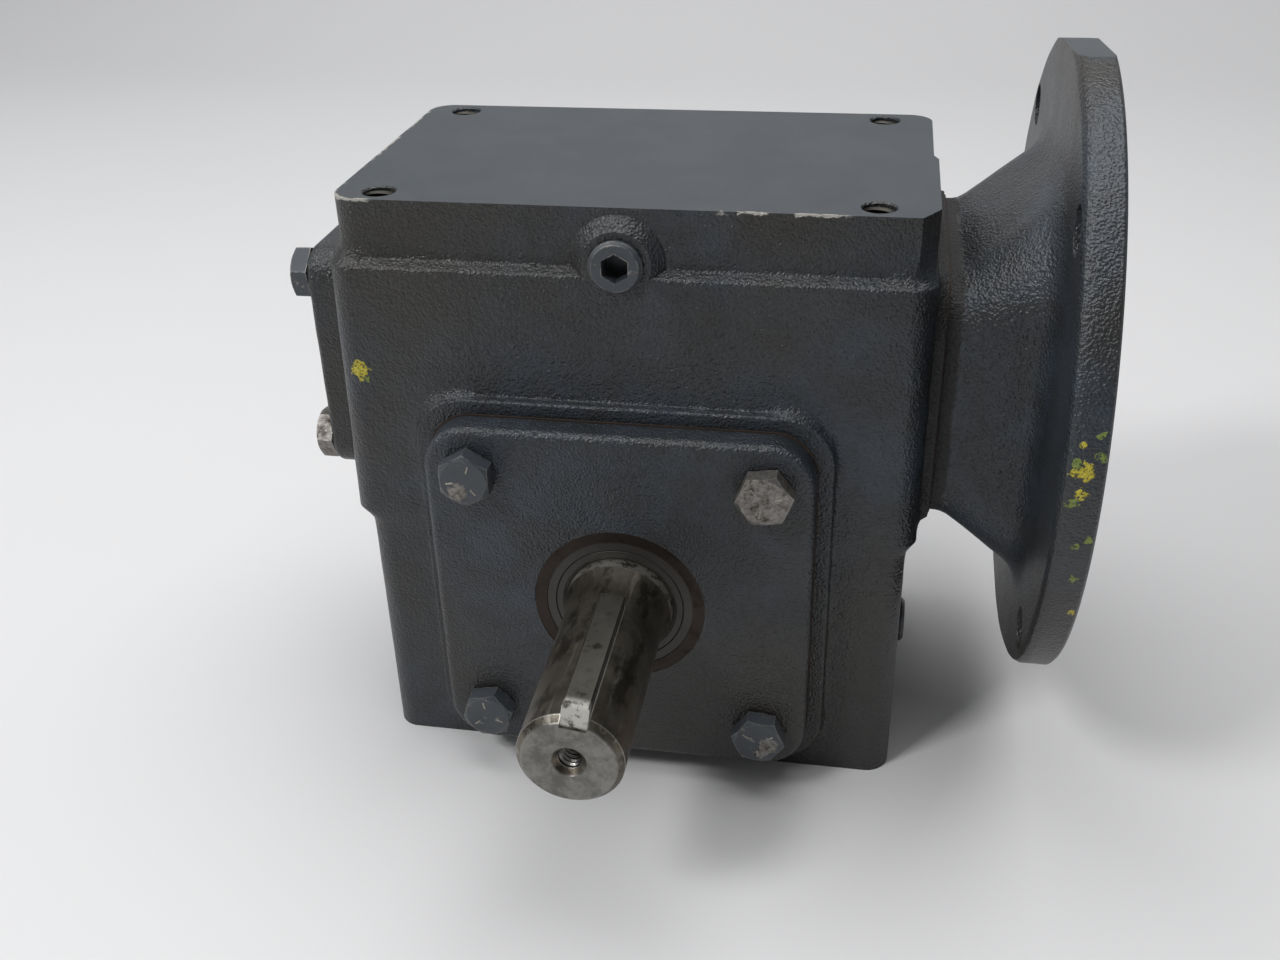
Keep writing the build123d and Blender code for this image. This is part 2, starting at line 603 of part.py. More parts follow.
with BuildPart() as worm_shaft:
    with BuildSketch(worm_section):
        with BuildLine():
            Polyline((-78, 0), (-78, 9.2), (-77.2, 10), (-60.4, 10), (-60.4, 13), (-55, 13), (-53.5, 11.5),
                     (-24, 11.5), (-thread_half_length, worm_root_r), (thread_half_length, worm_root_r),
                     (24, 11.5), (53.5, 11.5), (56, 16), (62.5, 16), (62.5, 12.5), (quill_end - 0.8, 12.5),
                     (quill_end, 11.7), (quill_end, 0), close=True)
        make_face()
    revolve(axis=worm_axis)
    add(worm_thread.part)
    # Circlip grooves.
    for groove_x, race in ((worm_left_ring_x, left_race), (worm_right_ring_x, right_race)):
        with Locations(across_worm(groove_x)):
            Cylinder(race["bore_r"] + 1, circlip_groove, mode=Mode.SUBTRACT)
            Cylinder(race["bore_r"] - circlip_depth, circlip_groove)
    # Motor bore with its keyway.
    with BuildSketch(across_worm(quill_end)):
        Circle(quill_bore_r)
    extrude(amount=-(quill_end - quill_bore_start), mode=Mode.SUBTRACT)
    with BuildSketch(across_worm(quill_end)):
        with Locations((0, quill_keyway_top / 2)):
            Rectangle(quill_keyway, quill_keyway_top)
    extrude(amount=-(quill_end - quill_bore_start - 4), mode=Mode.SUBTRACT)
worm_shaft.part.label = "worm_shaft"
export_step(worm_shaft.part, "parts/worm_shaft.step")


def retaining_ring(name, plane, seat_r, outer_r):
    """External circlip in a shaft groove, open at the top."""
    with BuildPart() as ring:
        with BuildSketch(plane):
            Circle(outer_r)
            Circle(seat_r - circlip_depth, mode=Mode.SUBTRACT)
            with Locations((0, outer_r)):
                Rectangle(6, outer_r, mode=Mode.SUBTRACT)
        extrude(amount=circlip / 2, both=True)
    ring.part.label = name
    export_step(ring.part, f"parts/{name}.step")


retaining_ring("worm_left_retaining_ring", across_worm(worm_left_ring_x), left_race["bore_r"], 13.2)
retaining_ring("worm_right_retaining_ring", across_worm(worm_right_ring_x), right_race["bore_r"], 15.8)
retaining_ring("output_retaining_ring", across_output(output_ring_y), output_journal_r, 18.6)

# ---------------------------------------------------------------- output shaft
key_bottom = output_shaft_r - output_key / 2
key_plane = Plane(origin=(0, 0, output_z), x_dir=(cos(output_key_turn), 0, -sin(output_key_turn)),
                  z_dir=(sin(output_key_turn), 0, cos(output_key_turn)))
with BuildPart() as output_shaft:
    end_y = output_shaft_end_y
    with BuildSketch(output_section):
        with BuildLine():
            Polyline((end_y, 0), (end_y, output_shaft_r - 1.6), (end_y + 1.6, output_shaft_r),
                     (-68.8, output_shaft_r))
            ThreePointArc((-68.8, output_shaft_r), (-65.0, output_shaft_r + 0.35), (-60.6, output_collar_r))
            Polyline((-60.6, output_collar_r), (-50.8, output_collar_r), (-50.5, output_journal_r),
                     (-37.5, output_journal_r), (-37.5, 18), (-22, 18), (-22, 20.5), (hub_front_y, 20.5),
                     (hub_front_y, wheel_seat_r), (hub_rear_y, wheel_seat_r),
                     (hub_rear_y, output_journal_r), (46.6, output_journal_r), (47.4, output_journal_r - 0.8),
                     (47.4, 0), (end_y, 0))
        make_face()
    revolve(axis=output_axis)
    with Locations(across_output(output_ring_y)):
        Cylinder(output_journal_r + 1, circlip_groove, mode=Mode.SUBTRACT)
        Cylinder(output_journal_r - circlip_depth, circlip_groove)
    # Keyway open at the shaft's end, with a round run-out.
    with BuildSketch(key_plane.offset(key_bottom)):
        with Locations((0, (output_key_start_y + end_y) / 2)):
            Rectangle(output_key, output_key_start_y - end_y)
        with Locations((0, output_key_start_y)):
            Circle(output_key / 2)
    extrude(amount=10, mode=Mode.SUBTRACT)
    # Keyway under the wheel.
    with BuildSketch(Plane.XY.offset(output_z + wheel_seat_r - output_key / 2)):
        with Locations((0, wheel_key_y)):
            SlotOverall(wheel_key_length, output_key, rotation=90)
    extrude(amount=10, mode=Mode.SUBTRACT)
    # Tapped centre hole with a protected countersink.
    with BuildSketch(output_section):
        with BuildLine():
            Polyline((end_y, 0), (end_y, 4.2), (end_y + 1.4, 2.8), (end_y + 18, 2.8), (end_y + 19.6, 0),
                     close=True)
        make_face()
    revolve(axis=output_axis, mode=Mode.SUBTRACT)
output_shaft.part.label = "output_shaft"
export_step(output_shaft.part, "parts/output_shaft.step")

with BuildPart() as shaft_key:
    with BuildSketch(key_plane.offset(key_bottom)):
        with Locations((0, (output_key_start_y + output_key_end_y) / 2)):
            Rectangle(output_key, output_key_start_y - output_key_end_y)
    extrude(amount=output_key)
    chamfer(shaft_key.faces().sort_by(Axis(key_plane.origin, key_plane.z_dir))[-1].edges(), 0.4)
shaft_key.part.label = "output_key"
export_step(shaft_key.part, "parts/output_key.step")

with BuildPart() as wheel_key:
    with BuildSketch(Plane.XY.offset(output_z + wheel_seat_r - output_key / 2)):
        with Locations((0, wheel_key_y)):
            SlotOverall(wheel_key_length, output_key, rotation=90)
    extrude(amount=output_key - 0.1)
wheel_key.part.label = "wheel_key"
export_step(wheel_key.part, "parts/wheel_key.step")

with BuildPart() as output_spacer:
    with BuildSketch(output_section):
        with Locations(((spacer_start_y + spacer_end_y) / 2, (output_journal_r + spacer_r) / 2)):
            Rectangle(spacer_end_y - spacer_start_y, spacer_r - output_journal_r)
    revolve(axis=output_axis)
output_spacer.part.label = "output_spacer"
export_step(output_spacer.part, "parts/output_spacer.step")

# ---------------------------------------------------------------- worm wheel
with BuildPart() as worm_wheel_hub:
    with BuildSketch(output_section):
        with BuildLine():
            Polyline((hub_front_y, wheel_seat_r), (hub_front_y, hub_r - 1), (hub_front_y + 2, hub_r),
                     (-9.5, hub_r + 0.5), (-6, hub_r + 1), (-6, rim_inner_r), (6, rim_inner_r),
                     (6, hub_r + 1), (9.5, hub_r + 0.5), (hub_rear_y - 2, hub_r), (hub_rear_y, hub_r - 1),
                     (hub_rear_y, wheel_seat_r), close=True)
        make_face()
    revolve(axis=output_axis)
    with BuildSketch(Plane.XY.offset(output_z)):
        Rectangle(output_key, 50)
    extrude(amount=wheel_seat_r + output_key / 2, mode=Mode.SUBTRACT)
worm_wheel_hub.part.label = "worm_wheel_hub"
export_step(worm_wheel_hub.part, "parts/worm_wheel_hub.step")


def gap_angles(radius, off_centre):
    """Wheel angles swept clear by the worm thread, at a radius and a distance from the mid-plane."""
    turn = np.linspace(-0.5, 0.5, 4001)
    depth = centre_distance - radius * np.cos(turn)
    thread_r = np.hypot(depth, off_centre)
    thread_shift = worm_lead * np.arctan2(off_centre, depth) / (2 * pi)
    reached = thread_r <= worm_tip_r + tip_clearance
    half = thread_half_width(thread_r) + flank_clearance
    lag = radius * np.sin(turn) - thread_shift
    low = turn - (lag + half) / wheel_pitch_r
    high = turn - (lag - half) / wheel_pitch_r
    return float(low[reached].min()), float(high[reached].max())


# One tooth gap, about the wheel's own axis (+Z here), with its middle on +X.
with BuildPart() as tooth_gap:
    for off_centre in np.linspace(-wheel_half_width - 1, wheel_half_width + 1, 7):
        gap_floor = centre_distance - sqrt((worm_tip_r + tip_clearance) ** 2 - off_centre**2)
        flank_radii = np.linspace(gap_floor + 0.02, wheel_outer_r + 1.0, 6)
        angles = [gap_angles(radius, off_centre) for radius in flank_radii]
        left_flank = [(r * cos(low), r * sin(low)) for r, (low, high) in zip(flank_radii, angles)]
        right_flank = [(r * cos(high), r * sin(high)) for r, (low, high) in zip(flank_radii, angles)]
        with BuildSketch(Plane.XY.offset(float(off_centre))):
            with BuildLine():
                Spline(*left_flank)
                Line(left_flank[-1], right_flank[-1])
                Spline(*reversed(right_flank))
                Line(right_flank[0], left_flank[0])
            make_face()
    loft()

throat_edge = sqrt(wheel_throat_r**2 - (centre_distance - wheel_outer_r) ** 2)
with BuildPart() as worm_wheel_rim:
    with BuildSketch(output_section):
        with BuildLine():
            Polyline((throat_edge, wheel_outer_r), (wheel_half_width - 1.2, wheel_outer_r),
                     (wheel_half_width, wheel_outer_r - 1.2), (wheel_half_width, rim_inner_r),
                     (-wheel_half_width, rim_inner_r), (-wheel_half_width, wheel_outer_r - 1.2),
                     (-wheel_half_width + 1.2, wheel_outer_r), (-throat_edge, wheel_outer_r))
            ThreePointArc((-throat_edge, wheel_outer_r), (0, centre_distance - wheel_throat_r),
                          (throat_edge, wheel_outer_r))
        make_face()
    revolve(axis=output_axis)
    wheel_frame = Plane(origin=(0, 0, output_z), x_dir=(0, 0, 1), z_dir=(0, 1, 0))
    with Locations(wheel_frame):
        with PolarLocations(0, wheel_teeth):
            add(tooth_gap, mode=Mode.SUBTRACT)
worm_wheel_rim.part.label = "worm_wheel_rim"
export_step(worm_wheel_rim.part, "parts/worm_wheel_rim.step")
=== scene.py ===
import json
from math import cos, pi, radians, sin

import bmesh
import bpy
from mathutils import Matrix, Vector, noise


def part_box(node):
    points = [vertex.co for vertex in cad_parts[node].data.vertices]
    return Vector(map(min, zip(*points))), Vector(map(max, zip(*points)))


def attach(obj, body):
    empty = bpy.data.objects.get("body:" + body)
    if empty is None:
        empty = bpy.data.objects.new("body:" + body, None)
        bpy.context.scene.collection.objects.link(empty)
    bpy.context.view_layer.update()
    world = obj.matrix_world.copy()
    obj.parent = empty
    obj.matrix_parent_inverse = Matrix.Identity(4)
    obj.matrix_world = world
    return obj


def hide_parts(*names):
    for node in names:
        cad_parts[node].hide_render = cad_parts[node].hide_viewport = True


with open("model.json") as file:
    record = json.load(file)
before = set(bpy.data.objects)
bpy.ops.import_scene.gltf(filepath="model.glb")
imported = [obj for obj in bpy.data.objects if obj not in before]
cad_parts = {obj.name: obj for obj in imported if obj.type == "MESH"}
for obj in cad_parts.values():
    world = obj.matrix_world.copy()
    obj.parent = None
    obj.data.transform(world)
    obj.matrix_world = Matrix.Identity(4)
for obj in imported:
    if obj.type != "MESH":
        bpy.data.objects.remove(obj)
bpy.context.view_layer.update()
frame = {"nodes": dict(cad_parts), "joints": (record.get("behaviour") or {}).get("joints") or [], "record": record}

nodes = frame["nodes"]
mm = 0.001

# ---------------------------------------------------------------- places read from the frame
mounts = {mount["name"]: mount for mount in frame["record"]["mounts"]}
joints = {joint["name"]: joint for joint in frame["joints"]}
top_z = mounts["top_face"]["pos_m"][2]
output_z = joints["output_spin"]["pos_m"][2]
worm_z = joints["worm_spin"]["pos_m"][2]
flange_face_x = mounts["motor_holes"]["pos_m"][0]
shaft_end_y = mounts["output_shaft_end"]["pos_m"][1]
cover_face_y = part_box("output_cover")[0].y
cap_face_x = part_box("worm_end_cap")[0].x
flange_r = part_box("motor_flange")[1].y
plug_z = sum(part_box("fill_plug"), Vector()).z / 2
cover_joint_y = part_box("output_cover_gasket")[0].y
cap_joint_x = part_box("worm_end_cap_gasket")[0].x


# ---------------------------------------------------------------- node trees
class Tree:
    """A material's node tree, built one call per node. Sockets, numbers and colours all go in as inputs."""

    def __init__(self, name):
        self.material = bpy.data.materials.new(name)
        self.material.use_nodes = True
        self.tree = self.material.node_tree
        self.tree.nodes.clear()
        self.place = self.add("ShaderNodeTexCoord").outputs["Object"]
        self.facing = self.add("ShaderNodeTexCoord").outputs["Normal"]

    def add(self, kind, inputs=None, **settings):
        node = self.tree.nodes.new(kind)
        for key, value in settings.items():
            setattr(node, key, value)
        for key, value in (inputs or {}).items():
            self.plug(node.inputs[key], value)
        return node

    def plug(self, socket, value):
        if isinstance(value, bpy.types.NodeSocket):
            self.tree.links.new(value, socket)
        elif socket.type == "RGBA" and len(value) == 3:
            socket.default_value = (*value, 1.0)
        else:
            socket.default_value = value

    def math(self, operation, first, second=0.0):
        return self.add("ShaderNodeMath", {0: first, 1: second}, operation=operation).outputs[0]

    def parts(self, vector):
        split = self.add("ShaderNodeSeparateXYZ", {0: vector})
        return split.outputs[0], split.outputs[1], split.outputs[2]

    def stretch(self, scale):
        """The place, scaled by its own amount along each axis."""
        return self.add("ShaderNodeMapping", {"Vector": self.place, "Scale": scale}).outputs[0]

    def noise(self, scale, detail=2.0, rough=0.5, at=None, warp=0.0):
        inputs = {"Vector": at or self.place, "Scale": scale, "Detail": detail, "Roughness": rough,
                  "Distortion": warp}
        return self.add("ShaderNodeTexNoise", inputs).outputs["Fac"]

    def step(self, value, low, high):
        """0 below low, 1 above high, with a smooth slope between. high may be the lower one."""
        inputs = {"Value": value, "From Min": low, "From Max": high}
        return self.add("ShaderNodeMapRange", inputs, interpolation_type="SMOOTHSTEP").outputs[0]

    def range(self, value, low, high):
        """Spreads a 0 to 1 value from low to high."""
        return self.add("ShaderNodeMapRange", {"Value": value, "To Min": low, "To Max": high}).outputs[0]

    def mix(self, share, first, second):
        """The first colour where share is 0, the second where it is 1."""
        node = self.add("ShaderNodeMix", data_type="RGBA", blend_type="MIX")
        self.plug(node.inputs[0], share)
        self.plug(node.inputs[6], first)
        self.plug(node.inputs[7], second)
        return node.outputs[2]

    def both(self, first, second):
        return self.math("MULTIPLY", first, second)

    def either(self, first, second):
        return self.math("MAXIMUM", first, second)

    def bump(self, height, depth):
        return self.add("ShaderNodeBump", {"Height": height, "Distance": depth, "Strength": 1.0}).outputs[0]

    def vector(self, operation, first, second):
        return self.add("ShaderNodeVectorMath", {0: first, 1: second}, operation=operation)

    def distance(self, first, second):
        return self.vector("DISTANCE", first, second).outputs["Value"]

    def warped(self, amount, scale):
        """The place, pushed about by noise, for ragged outlines."""
        inputs = {"Vector": self.place, "Scale": scale, "Detail": 3.0}
        colour = self.add("ShaderNodeTexNoise", inputs).outputs["Color"]
        centred = self.vector("SUBTRACT", colour, (0.5, 0.5, 0.5)).outputs[0]
        scaled = self.add("ShaderNodeVectorMath", {0: centred, "Scale": 2 * amount}, operation="SCALE")
        return self.vector("ADD", self.place, scaled.outputs[0]).outputs[0]

    def worn_edge(self, radius):
        """1 along sharp edges, 0 on flat faces, from how far a rounded normal leans off the true one."""
        rounded = self.add("ShaderNodeBevel", {"Radius": radius}, samples=4).outputs[0]
        true = self.add("ShaderNodeNewGeometry").outputs["True Normal"]
        lean = self.math("SUBTRACT", 1.0, self.vector("DOT_PRODUCT", rounded, true).outputs["Value"])
        least_lean, full_lean = 0.02, 0.12
        return self.step(lean, least_lean, full_lean)

    def corner_shade(self, reach):
        """1 deep in corners, 0 in the open, from ambient occlusion: the mask for painted shade in corners and
        recesses.
        """
        shade = self.add("ShaderNodeAmbientOcclusion", {"Distance": reach}, samples=4).outputs["AO"]
        return self.math("SUBTRACT", 1.0, shade)

    def surface(self, colour, roughness, metallic, normal, specular=0.5):
        """Ends the tree with a shader and its output, and gives back the material."""
        inputs = {"Base Color": colour, "Roughness": roughness, "Metallic": metallic, "Normal": normal,
                  "Specular IOR Level": specular}
        shader = self.add("ShaderNodeBsdfPrincipled", inputs)
        output = self.add("ShaderNodeOutputMaterial")
        self.tree.links.new(shader.outputs[0], output.inputs[0])
        return self.material


# ---------------------------------------------------------------- materials: castings
slate = (0.018, 0.021, 0.025)
slate_light = (0.030, 0.040, 0.053)
oil_brown = (0.025, 0.021, 0.015)
pit_black = (0.012, 0.012, 0.012)
# a dirty brown for painted shade mixed with dirt in corners and recesses
corner_dirt_and_shade = (0.014, 0.010, 0.007)
caked_oil = (0.008, 0.007, 0.006)
scuff_grey = (0.13, 0.13, 0.125)
milled_slate = (0.040, 0.049, 0.057)
milled_slate_light = (0.050, 0.059, 0.067)
scratch_grey = (0.085, 0.09, 0.095)
bare_iron = (0.46, 0.44, 0.40)
fleck_yellow = (0.50, 0.42, 0.03)
fleck_green = (0.17, 0.22, 0.04)


def cast_paint(name, wear, machined=None, chips=None, flecks=(), grime=None):
    """Slate enamel over sand-cast iron.

    machined, chips and grime are functions of the tree that give a 0 to 1 mask. Each fleck is a place, a
    radius and a colour."""
    tree = Tree(name)
    broad = tree.noise(13, 3, 0.6)
    patches = tree.noise(55, 4, 0.62, warp=0.4)
    specks = tree.noise(900, 2, 0.6)
    colour = tree.mix(tree.step(patches, 0.35, 0.7), slate, slate_light)
    film = tree.both(tree.step(broad, 0.38, 0.62), tree.range(patches, 0.5, 1.0))
    colour = tree.mix(film, colour, oil_brown)
    colour = tree.mix(tree.both(tree.step(specks, 0.66, 0.8), 0.35), colour, pit_black)
    # Painted shade and dirt: deep in corners and recesses the enamel darkens to a dirty brown, in patches.
    corner_shade = tree.corner_shade(5 * mm)
    dirt_and_shade = tree.both(tree.step(corner_shade, 0.25, 0.8), tree.range(tree.noise(260, 3, 0.6), 0.4, 1.0))
    colour = tree.mix(dirt_and_shade, colour, corner_dirt_and_shade)
    edge = tree.worn_edge(1.0 * mm)
    ragged = tree.step(tree.noise(210, 4, 0.7), 0.62 - 0.25 * wear, 0.72 - 0.2 * wear)
    scuffed = tree.both(tree.both(edge, ragged), 0.4)
    colour = tree.mix(scuffed, colour, scuff_grey)
    roughness = tree.range(tree.noise(70, 4, 0.65), 0.30, 0.44)
    grain = tree.math("ADD", tree.noise(1600, 1, 0.5), tree.both(tree.noise(800, 1, 0.5), 0.7))
    grain_depth = 0.36 * mm
    if grime:
        caked = grime(tree)
        colour = tree.mix(caked, colour, caked_oil)
        roughness = tree.math("ADD", roughness, tree.both(caked, 0.3))
    if machined:
        flat = machined(tree)
        milled = tree.mix(tree.step(patches, 0.3, 0.7), milled_slate, milled_slate_light)
        colour = tree.mix(flat, colour, milled)
        scratch = tree.noise(1, 3, 0.7, at=tree.stretch((30, 900, 900)))
        colour = tree.mix(tree.both(flat, tree.step(scratch, 0.70, 0.80)), colour, scratch_grey)
        roughness = tree.mix(flat, roughness, tree.range(tree.noise(40, 4, 0.6), 0.42, 0.52))
        grain = tree.both(grain, tree.range(flat, 1.0, 0.12))
    metallic = 0.0
    if chips:
        bare = chips(tree)
        colour = tree.mix(bare, colour, bare_iron)
        metallic = tree.both(bare, 0.6)
        grain = tree.math("SUBTRACT", grain, bare)
    for number, (point, radius, tint) in enumerate(flecks):
        near = tree.distance(tree.warped(1.3 * radius, 420 + 60 * number), point)
        speckle = tree.step(tree.noise(1100, 3, 0.7), 0.40, 0.47)
        spot = tree.both(tree.step(near, radius, 0.75 * radius), speckle)
        colour = tree.mix(spot, colour, tint)
        grain = tree.math("ADD", grain, tree.both(spot, 0.6))
    return tree.surface(colour, roughness, metallic, tree.bump(grain, grain_depth), specular=0.55)


def top_machined(tree):
    """The milled top face."""
    height = tree.parts(tree.place)[2]
    up = tree.parts(tree.facing)[2]
    return tree.both(tree.step(up, 0.9, 0.98), tree.step(height, top_z - 1.5 * mm, top_z - 0.7 * mm))


def top_chips(tree):
    """Paint knocked off along the top edges, most of it on the left corner and right of the filler plug."""
    x, y, z = tree.parts(tree.place)
    front_y, left_x, corner_r = -44.2 * mm, -71.6 * mm, 6.5 * mm
    ragged = tree.range(tree.noise(330, 4, 0.7), -1.1 * mm, 1.5 * mm)
    below = tree.math("SUBTRACT", top_z, z)

    def along_edge(inward, full, none):
        """1 within a ragged distance of the edge, which is where below and inward are both 0."""
        past_edge = tree.math("SUBTRACT", tree.math("ADD", below, inward), ragged)
        return tree.step(past_edge, none, full)

    near_front = along_edge(tree.math("SUBTRACT", y, front_y), 0.1 * mm, 0.5 * mm)
    broken = tree.step(tree.noise(210, 2, 0.5), 0.47, 0.53)
    right_of_plug = tree.both(tree.step(x, 22 * mm, 27 * mm), tree.step(x, 56 * mm, 50 * mm))
    at_left_end = tree.step(x, -60 * mm, -63 * mm)
    sparse = tree.step(tree.noise(90, 3, 0.6), 0.66, 0.70)
    runs = tree.either(tree.either(tree.both(right_of_plug, broken), at_left_end), sparse)
    front_wear = tree.both(near_front, runs)

    near_left = along_edge(tree.math("SUBTRACT", x, left_x), 0.1 * mm, 0.5 * mm)
    left_wear = tree.both(near_left, tree.step(tree.noise(110, 3, 0.6), 0.45, 0.51))

    corner_x = tree.math("SUBTRACT", x, left_x + corner_r)
    corner_y = tree.math("SUBTRACT", y, front_y + corner_r)
    squares = tree.math("ADD", tree.both(corner_x, corner_x), tree.both(corner_y, corner_y))
    inside_arc = tree.math("SUBTRACT", corner_r, tree.math("SQRT", squares))
    in_corner = tree.both(tree.step(corner_x, 0.0, -1 * mm), tree.step(corner_y, 0.0, -1 * mm))
    corner_wear = tree.both(along_edge(inside_arc, 0.2 * mm, 0.6 * mm), in_corner)
    return tree.either(tree.either(front_wear, left_wear), corner_wear)


def flange_machined(tree):
    """The turned face of the flange, its register and the dressed flat on top of the rim."""
    x, _, z = tree.parts(tree.place)
    front = tree.step(x, flange_face_x - 0.5 * mm, flange_face_x - 0.2 * mm)
    up = tree.parts(tree.facing)[2]
    flat = tree.both(tree.step(up, 0.97, 0.99), tree.step(z, worm_z + 76 * mm, worm_z + 77.5 * mm))
    return tree.either(front, flat)


def rim_fleck(turn, along, radius, tint):
    """A fleck of paint on the rim: turn in degrees from straight up towards the front, along in mm."""
    angle = radians(turn)
    return ((flange_face_x - along * mm, -flange_r * sin(angle), worm_z + flange_r * cos(angle)),
            radius * mm, tint)


# ---------------------------------------------------------------- materials: steel and the rest
screw_steel = (0.17, 0.16, 0.15)
screw_rust = (0.060, 0.046, 0.036)
screw_edge = (0.34, 0.31, 0.28)
screw_glint = (0.42, 0.40, 0.37)
screw_paint = (0.030, 0.037, 0.046)
screw_paint_light = (0.060, 0.068, 0.078)
# a dark brown for painted shade in the recesses round the screw heads
screw_corner_shade = (0.018, 0.013, 0.010)


def painted_screws(name, bare_where=None):
    """Black-blue painted screw heads, with the paint scraped off in places.

    bare_where is a function of the tree that gives a 0 to 1 mask of heads with no paint left."""
    tree = Tree(name)
    scrape = tree.noise(1, 4, 0.65, at=tree.stretch((260, 120, 420)), warp=0.6)
    bare = tree.step(scrape, 0.60, 0.66)
    edge = tree.both(tree.worn_edge(0.5 * mm), tree.step(tree.noise(400, 3, 0.6), 0.42, 0.5))
    bare = tree.either(bare, edge)
    if bare_where:
        bare = tree.either(bare, bare_where(tree))
    rust = tree.step(tree.noise(330, 4, 0.7), 0.45, 0.7)
    metal = tree.mix(rust, screw_steel, screw_rust)
    metal = tree.mix(edge, metal, screw_edge)
    if bare_where:
        glints = tree.both(tree.step(tree.noise(900, 3, 0.6), 0.44, 0.56), 0.25)
        metal = tree.mix(glints, metal, screw_glint)
    paint = tree.mix(tree.noise(150, 3, 0.6), screw_paint, screw_paint_light)
    # Painted shade: the paint darkens in corners and recesses round the heads.
    paint = tree.mix(tree.step(tree.corner_shade(3 * mm), 0.3, 0.8), paint, screw_corner_shade)
    colour = tree.mix(bare, paint, metal)
    roughness = tree.mix(bare, tree.range(scrape, 0.3, 0.5), tree.range(rust, 0.35, 0.62))
    height = tree.math("SUBTRACT", tree.noise(520, 3, 0.6), tree.both(bare, 0.7))
    return tree.surface(colour, roughness, tree.both(bare, 0.75), tree.bump(height, 0.09 * mm))


shaft_grey = (0.085, 0.075, 0.060)
shaft_grey_light = (0.17, 0.155, 0.130)
shaft_brown = (0.085, 0.055, 0.030)
shaft_streak = (0.34, 0.32, 0.28)
shaft_oil = (0.026, 0.021, 0.015)
shaft_edge = (0.50, 0.49, 0.45)
shaft_collar = (0.50, 0.48, 0.44)
shaft_end_grey = (0.13, 0.127, 0.115)
shaft_end_light = (0.23, 0.225, 0.205)


def shaft_metal(name):
    """Ground steel with an oil film, brown stains, bright streaks and a collar polished by the seal."""
    tree = Tree(name)
    y = tree.parts(tree.place)[1]
    streak = tree.noise(1, 4, 0.62, at=tree.stretch((300, 18, 300)), warp=0.3)
    cloud = tree.noise(70, 4, 0.65, warp=0.5)
    colour = tree.mix(tree.step(cloud, 0.36, 0.64), shaft_grey, shaft_grey_light)
    colour = tree.mix(tree.both(tree.step(cloud, 0.50, 0.68), 0.7), colour, shaft_brown)
    colour = tree.mix(tree.both(tree.step(streak, 0.58, 0.70), 0.6), colour, shaft_streak)
    oily = tree.step(tree.noise(1, 4, 0.7, at=tree.stretch((170, 60, 170))), 0.50, 0.62)
    colour = tree.mix(tree.both(oily, 0.7), colour, shaft_oil)
    colour = tree.mix(tree.worn_edge(0.6 * mm), colour, shaft_edge)
    seal_y = -61 * mm
    collar = tree.both(tree.step(y, seal_y, seal_y + 1 * mm), tree.step(tree.noise(420, 3, 0.7), 0.36, 0.5))
    colour = tree.mix(collar, colour, shaft_collar)
    end = tree.step(y, shaft_end_y + 0.4 * mm, shaft_end_y + 0.1 * mm)
    end_cloud = tree.step(tree.noise(200, 4, 0.75), 0.35, 0.65)
    colour = tree.mix(end, colour, tree.mix(end_cloud, shaft_end_grey, shaft_end_light))
    roughness = tree.range(tree.noise(120, 4, 0.7), 0.26, 0.52)
    fine = tree.noise(1, 2, 0.6, at=tree.stretch((1500, 60, 1500)))
    height = tree.math("ADD", fine, tree.both(tree.noise(700, 3, 0.6), 0.8))
    return tree.surface(colour, roughness, 0.88, tree.bump(height, 0.03 * mm))


scraped_steel = (0.52, 0.51, 0.47)


def plain_metal(name, dark, light, lines_scale, roughness=(0.22, 0.4), depth=0.015, stain=None, share=0.4,
                bright=None):
    """Machined metal: a two-tone mottle, tool lines and an edge that catches the light.

    depth is the tool lines' in mm, share is how much of the stain's colour shows, and bright is a function
    of the tree that gives a 0 to 1 mask of scraped metal."""
    tree = Tree(name)
    mottle = tree.noise(90, 4, 0.6)
    colour = tree.mix(mottle, dark, light)
    if stain:
        colour = tree.mix(tree.both(tree.step(tree.noise(170, 4, 0.7), 0.5, 0.68), share), colour, stain)
    brighter = tuple(min(1.0, 1.35 * channel) for channel in light)
    colour = tree.mix(tree.both(tree.worn_edge(0.35 * mm), 0.6), colour, brighter)
    # Painted shade: a darker copy of the metal in corners and recesses.
    colour = tree.mix(tree.both(tree.step(tree.corner_shade(2.5 * mm), 0.35, 0.9), 0.7), colour,
                      tuple(0.25 * channel for channel in dark))
    if bright:
        colour = tree.mix(bright(tree), colour, scraped_steel)
    lines = tree.noise(1, 2, 0.6, at=tree.stretch(lines_scale))
    finish = tree.range(tree.noise(140, 3, 0.6), *roughness)
    return tree.surface(colour, finish, 1.0, tree.bump(lines, depth * mm))


def dull(name, dark, light, roughness, depth, scale=700):
    """Rubber, fibre and other matt, non-metallic stuff with a fine tooth. depth is in mm."""
    tree = Tree(name)
    colour = tree.mix(tree.noise(scale / 6, 4, 0.65), dark, light)
    height = tree.noise(scale, 3, 0.65)
    finish = tree.range(tree.noise(scale / 3, 2, 0.5), roughness - 0.1, roughness + 0.1)
    return tree.surface(colour, finish, 0.0, tree.bump(height, depth * mm))


def bare_cover_screws(tree):
    """The cover's upper right screw has lost its paint, and the other three are scraped by a wrench."""
    x, _, z = tree.parts(tree.place)
    bare = tree.both(tree.step(x, 10 * mm, 11 * mm), tree.step(z, output_z, output_z + 1 * mm))
    head_top_y = cover_face_y - 5.2 * mm
    upper_left, lower_left = (-39.6, 34.6, 2.6), (-34.9, -38.5, 1.2)
    lower_right, lower_right_small = (40.6, -38.4, 2.8), (38.6, -41.4, 1.8)
    for scrape_x, height, radius in (upper_left, lower_right, lower_right_small, lower_left):
        scrape = (scrape_x * mm, head_top_y, output_z + height * mm)
        near = tree.distance(tree.warped(1.5 * mm, 600), scrape)
        bare = tree.either(bare, tree.step(near, radius * mm, 0.8 * radius * mm))
    return bare


